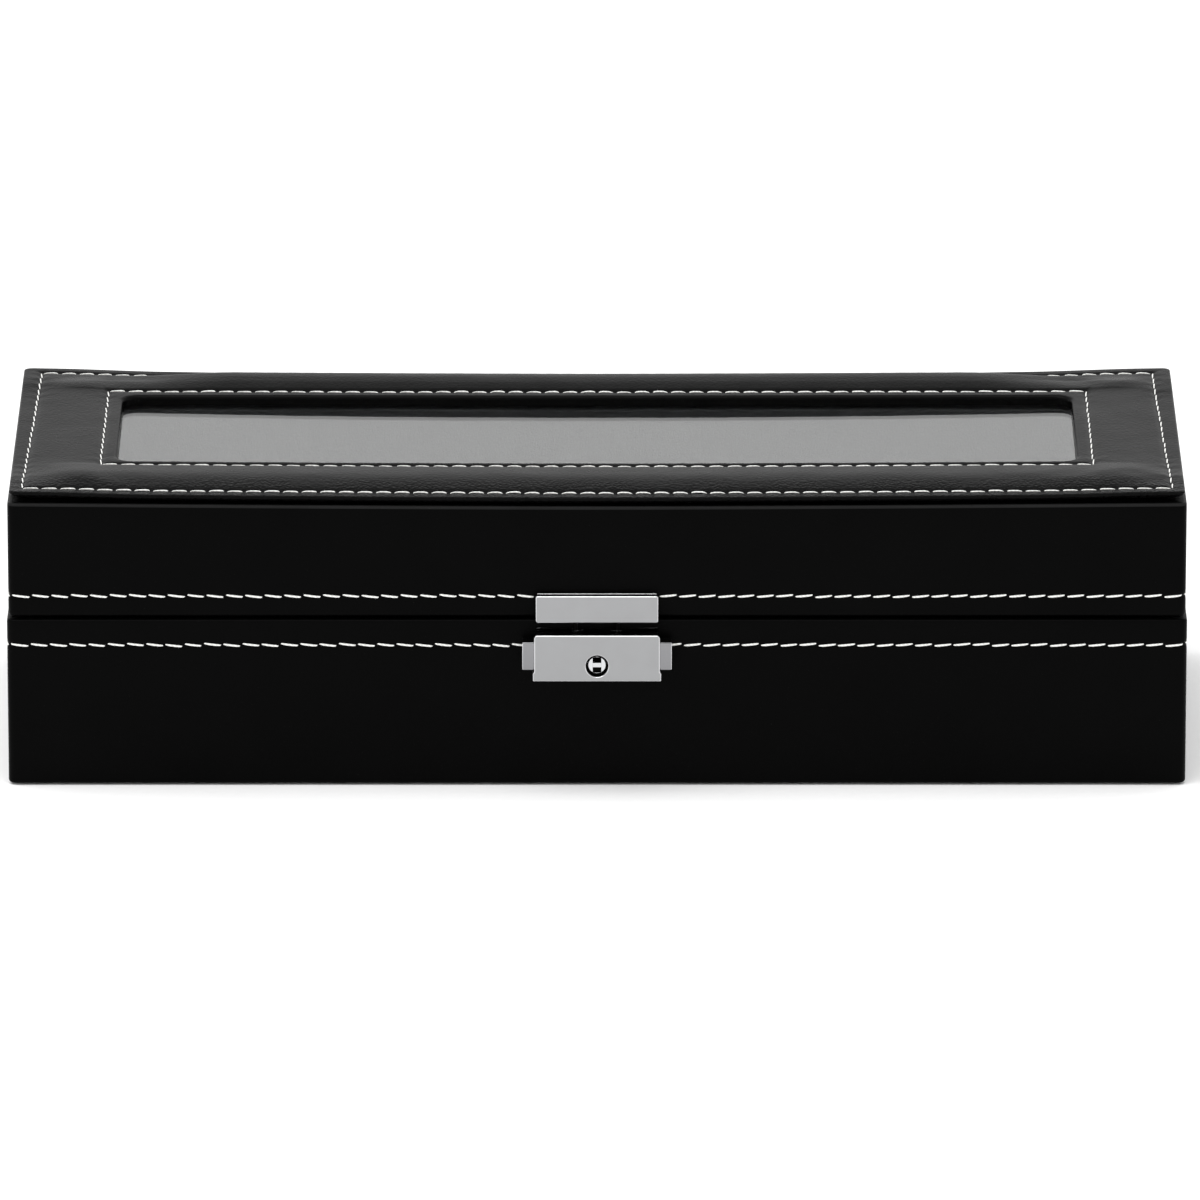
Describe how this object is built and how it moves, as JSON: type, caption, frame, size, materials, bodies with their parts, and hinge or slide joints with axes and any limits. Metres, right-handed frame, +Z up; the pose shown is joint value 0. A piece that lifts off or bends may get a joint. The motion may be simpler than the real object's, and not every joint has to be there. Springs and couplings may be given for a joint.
{
  "type": "watch box",
  "caption": "Long rectangular watch box: leatherette carcass, hinged lid with a padded frame round a glass window, hasp with a keyed squeeze lock, cushions in velvet compartments.",
  "frame": {"origin": "centre of the carcass's underside", "axes": "+X along the box's length to the right, -Y out of the front with the lock, +Z up"},
  "size_m": [0.3004, 0.123, 0.0777],
  "materials": {
    "leatherette": "black smooth leatherette, low sheen",
    "cover_leatherette": "black padded leatherette with a fine grain",
    "fibreboard": "raw fibreboard",
    "velvet": "black short-pile velvet on card",
    "lid_lining": "black short-pile velvet glued on board",
    "cushion_velvet": "black velvet over foam",
    "felt": "black flocked paper",
    "glass": "clear flat glass",
    "chrome": "bright chrome plate",
    "button_chrome": "bright chrome plate",
    "cylinder_chrome": "bright chrome plate",
    "hinge_nickel": "nickel-plated pressed steel",
    "screw_steel": "zinc-plated steel",
    "lock_steel": "bare pressed steel"
  },
  "bodies": {
    "base": {"base_front_board": "fibreboard", "base_back_board": "fibreboard", "base_left_board": "fibreboard", "base_right_board": "fibreboard", "base_bottom_board": "fibreboard", "base_wrap": "leatherette", "underside_sheet": "felt", "liner_front": "velvet", "liner_back": "velvet", "liner_left": "velvet", "liner_right": "velvet", "floor_pad": "velvet", "divider_1": "velvet", "divider_2": "velvet", "divider_3": "velvet", "divider_4": "velvet", "divider_5": "velvet", "lock_case": "chrome", "lock_back_plate": "lock_steel", "lock_screw_left": "screw_steel", "lock_screw_right": "screw_steel", "spring_left": "lock_steel", "spring_right": "lock_steel", "hinge_left_base_leaf": "hinge_nickel", "hinge_left_pin": "hinge_nickel", "hinge_right_base_leaf": "hinge_nickel", "hinge_right_pin": "hinge_nickel", "hinge_left_base_screw_1": "screw_steel", "hinge_left_base_screw_2": "screw_steel", "hinge_right_base_screw_1": "screw_steel", "hinge_right_base_screw_2": "screw_steel"},
    "lid": {"lid_wrap": "leatherette", "lid_front_board": "lid_lining", "lid_back_board": "lid_lining", "lid_left_board": "lid_lining", "lid_right_board": "lid_lining", "lid_top_board": "fibreboard", "lid_top_cover": "cover_leatherette", "window_glass": "glass", "glass_retainer": "lid_lining", "hasp_plate": "chrome", "hasp_screw_left": "screw_steel", "hasp_screw_right": "screw_steel", "hinge_left_lid_leaf": "hinge_nickel", "hinge_right_lid_leaf": "hinge_nickel", "hinge_left_lid_screw_1": "screw_steel", "hinge_left_lid_screw_2": "screw_steel", "hinge_right_lid_screw_1": "screw_steel", "hinge_right_lid_screw_2": "screw_steel"},
    "key": {"key_cylinder": "cylinder_chrome", "key_cam": "lock_steel"},
    "button_left": {"button_left": "button_chrome"},
    "button_right": {"button_right": "button_chrome"},
    "pillow_1": {"pillow_1": "cushion_velvet"},
    "pillow_2": {"pillow_2": "cushion_velvet"},
    "pillow_3": {"pillow_3": "cushion_velvet"},
    "pillow_4": {"pillow_4": "cushion_velvet"},
    "pillow_5": {"pillow_5": "cushion_velvet"},
    "pillow_6": {"pillow_6": "cushion_velvet"}
  },
  "joints": [
    {"name": "lid_hinge", "type": "hinge", "parent": "base", "child": "lid", "pos_m": [0, 0.058, 0.0447], "axis": [-1, 0, 0], "range_deg": [0, 95]},
    {"name": "button_left_press", "type": "slide", "parent": "base", "child": "button_left", "axis": [1, 0, 0], "range_m": [0, 0.0016], "stiffness_N_per_m": 300, "springref_m": -0.003, "deforming": ["spring_left"]},
    {"name": "button_right_press", "type": "slide", "parent": "base", "child": "button_right", "axis": [-1, 0, 0], "range_m": [0, 0.0016], "stiffness_N_per_m": 300, "springref_m": -0.003, "deforming": ["spring_right"]},
    {"name": "key_turn", "type": "hinge", "parent": "base", "child": "key", "pos_m": [0, -0.0595, 0.0342], "axis": [0, 1, 0], "range_deg": [-90, 0]},
    {"name": "pillow_1_lift", "type": "slide", "parent": "base", "child": "pillow_1", "axis": [0, 0, 1], "range_m": [0, 0.025]},
    {"name": "pillow_2_lift", "type": "slide", "parent": "base", "child": "pillow_2", "axis": [0, 0, 1], "range_m": [0, 0.025]},
    {"name": "pillow_3_lift", "type": "slide", "parent": "base", "child": "pillow_3", "axis": [0, 0, 1], "range_m": [0, 0.025]},
    {"name": "pillow_4_lift", "type": "slide", "parent": "base", "child": "pillow_4", "axis": [0, 0, 1], "range_m": [0, 0.025]},
    {"name": "pillow_5_lift", "type": "slide", "parent": "base", "child": "pillow_5", "axis": [0, 0, 1], "range_m": [0, 0.025]},
    {"name": "pillow_6_lift", "type": "slide", "parent": "base", "child": "pillow_6", "axis": [0, 0, 1], "range_m": [0, 0.025]}
  ]
}
